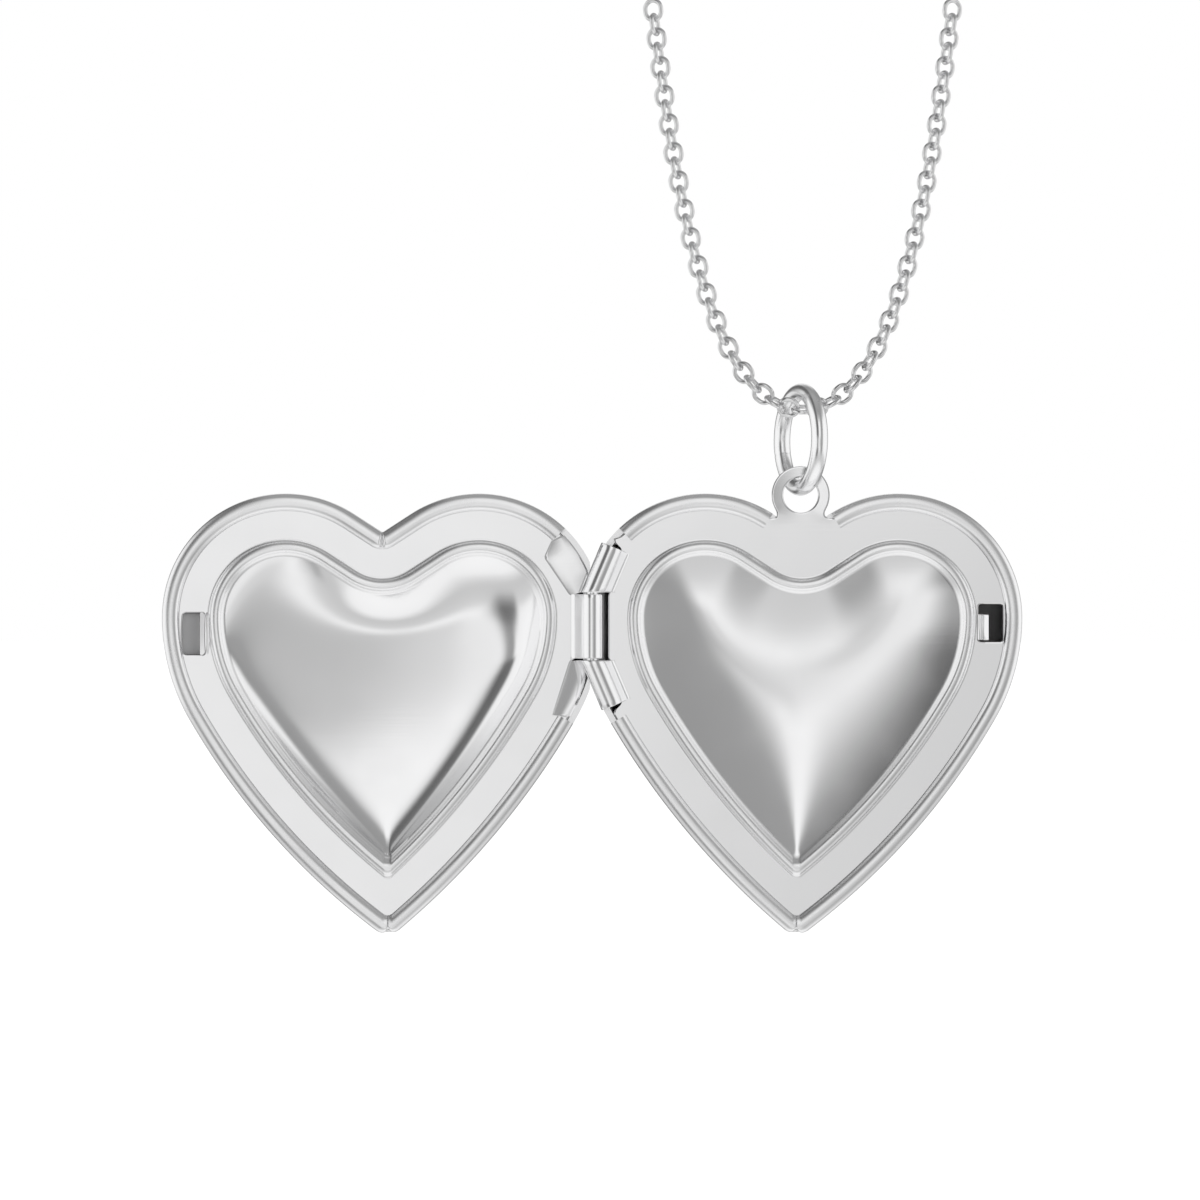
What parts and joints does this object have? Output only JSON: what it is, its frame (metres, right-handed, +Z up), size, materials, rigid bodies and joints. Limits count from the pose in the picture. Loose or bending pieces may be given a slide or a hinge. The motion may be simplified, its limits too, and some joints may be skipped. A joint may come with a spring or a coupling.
{
  "type": "heart locket with chain",
  "caption": "Hinged heart-shaped keepsake locket, open flat, with dished inner plates, snap latch, bail, jump ring and a length of cable chain.",
  "frame": {"origin": "on the hinge line, level with the lowest points of the two heart tips; the hinge line is x = 0, y = 0", "axes": "+Z up along the hinge line towards the bail, +X from the hinge across the back half, +Y behind the open pair (the domes' side), -Y the side the open insides face"},
  "size_m": [0.0392, 0.0049, 0.0426],
  "materials": {
    "polished_sheet": "mirror-polished silver sheet",
    "wire": "bright silver wire"
  },
  "bodies": {
    "back_half": {"back_shell": "polished_sheet", "back_plate": "polished_sheet", "hinge_pin": "wire"},
    "front_half": {"front_shell": "polished_sheet", "front_plate": "polished_sheet"},
    "jump_ring": {"jump_ring": "wire"},
    "link_middle": {"link_middle": "wire"},
    "link_left_01": {"link_left_01": "wire"},
    "link_left_02": {"link_left_02": "wire"},
    "link_left_03": {"link_left_03": "wire"},
    "link_left_04": {"link_left_04": "wire"},
    "link_left_05": {"link_left_05": "wire"},
    "link_left_06": {"link_left_06": "wire"},
    "link_left_07": {"link_left_07": "wire"},
    "link_left_08": {"link_left_08": "wire"},
    "link_left_09": {"link_left_09": "wire"},
    "link_left_10": {"link_left_10": "wire"},
    "link_left_11": {"link_left_11": "wire"},
    "link_left_12": {"link_left_12": "wire"},
    "link_left_13": {"link_left_13": "wire"},
    "link_left_14": {"link_left_14": "wire"},
    "link_left_15": {"link_left_15": "wire"},
    "link_left_16": {"link_left_16": "wire"},
    "link_left_17": {"link_left_17": "wire"},
    "link_left_18": {"link_left_18": "wire"},
    "link_left_19": {"link_left_19": "wire"},
    "link_left_20": {"link_left_20": "wire"},
    "link_left_21": {"link_left_21": "wire"},
    "link_left_22": {"link_left_22": "wire"},
    "link_left_23": {"link_left_23": "wire"},
    "link_left_24": {"link_left_24": "wire"},
    "link_left_25": {"link_left_25": "wire"},
    "links_left_end": {"links_left_end": "wire"},
    "link_right_01": {"link_right_01": "wire"},
    "link_right_02": {"link_right_02": "wire"},
    "link_right_03": {"link_right_03": "wire"},
    "link_right_04": {"link_right_04": "wire"},
    "link_right_05": {"link_right_05": "wire"},
    "link_right_06": {"link_right_06": "wire"},
    "link_right_07": {"link_right_07": "wire"},
    "link_right_08": {"link_right_08": "wire"},
    "link_right_09": {"link_right_09": "wire"},
    "link_right_10": {"link_right_10": "wire"},
    "link_right_11": {"link_right_11": "wire"},
    "link_right_12": {"link_right_12": "wire"},
    "link_right_13": {"link_right_13": "wire"},
    "link_right_14": {"link_right_14": "wire"},
    "link_right_15": {"link_right_15": "wire"},
    "link_right_16": {"link_right_16": "wire"},
    "link_right_17": {"link_right_17": "wire"},
    "link_right_18": {"link_right_18": "wire"},
    "link_right_19": {"link_right_19": "wire"},
    "link_right_20": {"link_right_20": "wire"},
    "link_right_21": {"link_right_21": "wire"},
    "link_right_22": {"link_right_22": "wire"},
    "link_right_23": {"link_right_23": "wire"},
    "link_right_24": {"link_right_24": "wire"},
    "link_right_25": {"link_right_25": "wire"},
    "links_right_end": {"links_right_end": "wire"}
  },
  "joints": [
    {"name": "cover_hinge", "type": "hinge", "parent": "back_half", "child": "front_half", "pos_m": [0, 0, 0.014], "axis": [0, 0, 1], "range_deg": [0, 180]},
    {"name": "ring_swing", "type": "hinge", "parent": "back_half", "child": "jump_ring", "pos_m": [0.0095, 0.00044, 0.02104], "axis": [1, 0, 0], "range_deg": [-50, 50]},
    {"name": "chain_swing", "type": "hinge", "parent": "jump_ring", "child": "link_middle", "pos_m": [0.0095, 0.00044, 0.02469], "axis": [0.342, -0.9397, 0], "range_deg": [-15, 15]},
    {"name": "link_left_01_swing", "type": "hinge", "parent": "link_middle", "child": "link_left_01", "pos_m": [0.00916, 0.00044, 0.02388], "axis": [0, 0.9272, 0.3746], "range_deg": [-25, 25]},
    {"name": "link_left_02_swing", "type": "hinge", "parent": "link_left_01", "child": "link_left_02", "pos_m": [0.00852, 0.00044, 0.02409], "axis": [0.2458, -0.3746, 0.894], "range_deg": [-25, 25]},
    {"name": "link_left_03_swing", "type": "hinge", "parent": "link_left_02", "child": "link_left_03", "pos_m": [0.00795, 0.00044, 0.02443], "axis": [-0.1805, -0.9272, -0.3282], "range_deg": [-25, 25]},
    {"name": "link_left_04_swing", "type": "hinge", "parent": "link_left_03", "child": "link_left_04", "pos_m": [0.00746, 0.00044, 0.02487], "axis": [-0.59, 0.3746, -0.7152], "range_deg": [-25, 25]},
    {"name": "link_left_05_swing", "type": "hinge", "parent": "link_left_04", "child": "link_left_05", "pos_m": [0.00702, 0.00044, 0.02537], "axis": [0.2772, 0.9272, 0.252], "range_deg": [-25, 25]},
    {"name": "link_left_06_swing", "type": "hinge", "parent": "link_left_05", "child": "link_left_06", "pos_m": [0.00665, 0.00044, 0.02592], "axis": [0.7498, -0.3746, 0.5453], "range_deg": [-25, 25]},
    {"name": "link_left_07_swing", "type": "hinge", "parent": "link_left_06", "child": "link_left_07", "pos_m": [0.00631, 0.00044, 0.02649], "axis": [-0.3204, -0.9272, -0.1942], "range_deg": [-25, 25]},
    {"name": "link_left_08_swing", "type": "hinge", "parent": "link_left_07", "child": "link_left_08", "pos_m": [0.00601, 0.00044, 0.02708], "axis": [-0.8228, 0.3746, -0.4274], "range_deg": [-25, 25]},
    {"name": "link_left_09_swing", "type": "hinge", "parent": "link_left_08", "child": "link_left_09", "pos_m": [0.00575, 0.00044, 0.02768], "axis": [0.341, 0.9272, 0.155], "range_deg": [-25, 25]},
    {"name": "link_left_10_swing", "type": "hinge", "parent": "link_left_09", "child": "link_left_10", "pos_m": [0.0055, 0.00044, 0.02829], "axis": [0.8597, -0.3746, 0.3473], "range_deg": [-25, 25]},
    {"name": "link_left_11_swing", "type": "hinge", "parent": "link_left_10", "child": "link_left_11", "pos_m": [0.00528, 0.00044, 0.02892], "axis": [-0.3521, -0.9272, -0.128], "range_deg": [-25, 25]},
    {"name": "link_left_12_swing", "type": "hinge", "parent": "link_left_11", "child": "link_left_12", "pos_m": [0.00508, 0.00044, 0.02954], "axis": [-0.8803, 0.3746, -0.291], "range_deg": [-25, 25]},
    {"name": "link_left_13_swing", "type": "hinge", "parent": "link_left_12", "child": "link_left_13", "pos_m": [0.00489, 0.00044, 0.03018], "axis": [0.3585, 0.9272, 0.1086], "range_deg": [-25, 25]},
    {"name": "link_left_14_swing", "type": "hinge", "parent": "link_left_13", "child": "link_left_14", "pos_m": [0.00471, 0.00044, 0.03081], "axis": [0.8929, -0.3746, 0.2498], "range_deg": [-25, 25]},
    {"name": "link_left_15_swing", "type": "hinge", "parent": "link_left_14", "child": "link_left_15", "pos_m": [0.00455, 0.00044, 0.03145], "axis": [-0.3626, -0.9272, -0.0942], "range_deg": [-25, 25]},
    {"name": "link_left_16_swing", "type": "hinge", "parent": "link_left_15", "child": "link_left_16", "pos_m": [0.0044, 0.00044, 0.03209], "axis": [-0.9011, 0.3746, -0.2184], "range_deg": [-25, 25]},
    {"name": "link_left_17_swing", "type": "hinge", "parent": "link_left_16", "child": "link_left_17", "pos_m": [0.00425, 0.00044, 0.03274], "axis": [0.3653, 0.9272, 0.083], "range_deg": [-25, 25]},
    {"name": "link_left_18_swing", "type": "hinge", "parent": "link_left_17", "child": "link_left_18", "pos_m": [0.00412, 0.00044, 0.03338], "axis": [0.9067, -0.3746, 0.1939], "range_deg": [-25, 25]},
    {"name": "link_left_19_swing", "type": "hinge", "parent": "link_left_18", "child": "link_left_19", "pos_m": [0.00399, 0.00044, 0.03403], "axis": [-0.3672, -0.9272, -0.0742], "range_deg": [-25, 25]},
    {"name": "link_left_20_swing", "type": "hinge", "parent": "link_left_19", "child": "link_left_20", "pos_m": [0.00386, 0.00044, 0.03468], "axis": [-0.9107, 0.3746, -0.1743], "range_deg": [-25, 25]},
    {"name": "link_left_21_swing", "type": "hinge", "parent": "link_left_20", "child": "link_left_21", "pos_m": [0.00375, 0.00044, 0.03533], "axis": [0.3686, 0.9272, 0.067], "range_deg": [-25, 25]},
    {"name": "link_left_22_swing", "type": "hinge", "parent": "link_left_21", "child": "link_left_22", "pos_m": [0.00364, 0.00044, 0.03598], "axis": [0.9136, -0.3746, 0.1582], "range_deg": [-25, 25]},
    {"name": "link_left_23_swing", "type": "hinge", "parent": "link_left_22", "child": "link_left_23", "pos_m": [0.00353, 0.00044, 0.03663], "axis": [-0.3696, -0.9272, -0.0611], "range_deg": [-25, 25]},
    {"name": "link_left_24_swing", "type": "hinge", "parent": "link_left_23", "child": "link_left_24", "pos_m": [0.00343, 0.00044, 0.03728], "axis": [-0.9158, 0.3746, -0.1448], "range_deg": [-25, 25]},
    {"name": "link_left_25_swing", "type": "hinge", "parent": "link_left_24", "child": "link_left_25", "pos_m": [0.00333, 0.00044, 0.03794], "axis": [0.3704, 0.9272, 0.0561], "range_deg": [-25, 25]},
    {"name": "links_left_end_swing", "type": "hinge", "parent": "link_left_25", "child": "links_left_end", "pos_m": [0.00323, 0.00044, 0.03859], "axis": [0.9175, -0.3746, 0.1335], "range_deg": [-25, 25]},
    {"name": "link_right_01_swing", "type": "hinge", "parent": "link_middle", "child": "link_right_01", "pos_m": [0.01004, 0.00044, 0.02388], "axis": [0, 0.9272, 0.3746], "range_deg": [-25, 25]},
    {"name": "link_right_02_swing", "type": "hinge", "parent": "link_right_01", "child": "link_right_02", "pos_m": [0.01068, 0.00044, 0.02409], "axis": [-0.2458, -0.3746, 0.894], "range_deg": [-25, 25]},
    {"name": "link_right_03_swing", "type": "hinge", "parent": "link_right_02", "child": "link_right_03", "pos_m": [0.01125, 0.00044, 0.02443], "axis": [0.1805, -0.9272, -0.3282], "range_deg": [-25, 25]},
    {"name": "link_right_04_swing", "type": "hinge", "parent": "link_right_03", "child": "link_right_04", "pos_m": [0.01174, 0.00044, 0.02487], "axis": [0.59, 0.3746, -0.7152], "range_deg": [-25, 25]},
    {"name": "link_right_05_swing", "type": "hinge", "parent": "link_right_04", "child": "link_right_05", "pos_m": [0.01218, 0.00044, 0.02537], "axis": [-0.2772, 0.9272, 0.252], "range_deg": [-25, 25]},
    {"name": "link_right_06_swing", "type": "hinge", "parent": "link_right_05", "child": "link_right_06", "pos_m": [0.01255, 0.00044, 0.02592], "axis": [-0.7498, -0.3746, 0.5453], "range_deg": [-25, 25]},
    {"name": "link_right_07_swing", "type": "hinge", "parent": "link_right_06", "child": "link_right_07", "pos_m": [0.01289, 0.00044, 0.02649], "axis": [0.3204, -0.9272, -0.1942], "range_deg": [-25, 25]},
    {"name": "link_right_08_swing", "type": "hinge", "parent": "link_right_07", "child": "link_right_08", "pos_m": [0.01319, 0.00044, 0.02708], "axis": [0.8228, 0.3746, -0.4274], "range_deg": [-25, 25]},
    {"name": "link_right_09_swing", "type": "hinge", "parent": "link_right_08", "child": "link_right_09", "pos_m": [0.01345, 0.00044, 0.02768], "axis": [-0.341, 0.9272, 0.155], "range_deg": [-25, 25]},
    {"name": "link_right_10_swing", "type": "hinge", "parent": "link_right_09", "child": "link_right_10", "pos_m": [0.0137, 0.00044, 0.02829], "axis": [-0.8597, -0.3746, 0.3473], "range_deg": [-25, 25]},
    {"name": "link_right_11_swing", "type": "hinge", "parent": "link_right_10", "child": "link_right_11", "pos_m": [0.01392, 0.00044, 0.02892], "axis": [0.3521, -0.9272, -0.128], "range_deg": [-25, 25]},
    {"name": "link_right_12_swing", "type": "hinge", "parent": "link_right_11", "child": "link_right_12", "pos_m": [0.01412, 0.00044, 0.02954], "axis": [0.8803, 0.3746, -0.291], "range_deg": [-25, 25]},
    {"name": "link_right_13_swing", "type": "hinge", "parent": "link_right_12", "child": "link_right_13", "pos_m": [0.01431, 0.00044, 0.03018], "axis": [-0.3585, 0.9272, 0.1086], "range_deg": [-25, 25]},
    {"name": "link_right_14_swing", "type": "hinge", "parent": "link_right_13", "child": "link_right_14", "pos_m": [0.01449, 0.00044, 0.03081], "axis": [-0.8929, -0.3746, 0.2498], "range_deg": [-25, 25]},
    {"name": "link_right_15_swing", "type": "hinge", "parent": "link_right_14", "child": "link_right_15", "pos_m": [0.01465, 0.00044, 0.03145], "axis": [0.3626, -0.9272, -0.0942], "range_deg": [-25, 25]},
    {"name": "link_right_16_swing", "type": "hinge", "parent": "link_right_15", "child": "link_right_16", "pos_m": [0.0148, 0.00044, 0.03209], "axis": [0.9011, 0.3746, -0.2184], "range_deg": [-25, 25]},
    {"name": "link_right_17_swing", "type": "hinge", "parent": "link_right_16", "child": "link_right_17", "pos_m": [0.01495, 0.00044, 0.03274], "axis": [-0.3653, 0.9272, 0.083], "range_deg": [-25, 25]},
    {"name": "link_right_18_swing", "type": "hinge", "parent": "link_right_17", "child": "link_right_18", "pos_m": [0.01508, 0.00044, 0.03338], "axis": [-0.9067, -0.3746, 0.1939], "range_deg": [-25, 25]},
    {"name": "link_right_19_swing", "type": "hinge", "parent": "link_right_18", "child": "link_right_19", "pos_m": [0.01521, 0.00044, 0.03403], "axis": [0.3672, -0.9272, -0.0742], "range_deg": [-25, 25]},
    {"name": "link_right_20_swing", "type": "hinge", "parent": "link_right_19", "child": "link_right_20", "pos_m": [0.01534, 0.00044, 0.03468], "axis": [0.9107, 0.3746, -0.1743], "range_deg": [-25, 25]},
    {"name": "link_right_21_swing", "type": "hinge", "parent": "link_right_20", "child": "link_right_21", "pos_m": [0.01545, 0.00044, 0.03533], "axis": [-0.3686, 0.9272, 0.067], "range_deg": [-25, 25]},
    {"name": "link_right_22_swing", "type": "hinge", "parent": "link_right_21", "child": "link_right_22", "pos_m": [0.01556, 0.00044, 0.03598], "axis": [-0.9136, -0.3746, 0.1582], "range_deg": [-25, 25]},
    {"name": "link_right_23_swing", "type": "hinge", "parent": "link_right_22", "child": "link_right_23", "pos_m": [0.01567, 0.00044, 0.03663], "axis": [0.3696, -0.9272, -0.0611], "range_deg": [-25, 25]},
    {"name": "link_right_24_swing", "type": "hinge", "parent": "link_right_23", "child": "link_right_24", "pos_m": [0.01577, 0.00044, 0.03728], "axis": [0.9158, 0.3746, -0.1448], "range_deg": [-25, 25]},
    {"name": "link_right_25_swing", "type": "hinge", "parent": "link_right_24", "child": "link_right_25", "pos_m": [0.01587, 0.00044, 0.03794], "axis": [-0.3704, 0.9272, 0.0561], "range_deg": [-25, 25]},
    {"name": "links_right_end_swing", "type": "hinge", "parent": "link_right_25", "child": "links_right_end", "pos_m": [0.01597, 0.00044, 0.03859], "axis": [-0.9175, -0.3746, 0.1335], "range_deg": [-25, 25]}
  ]
}
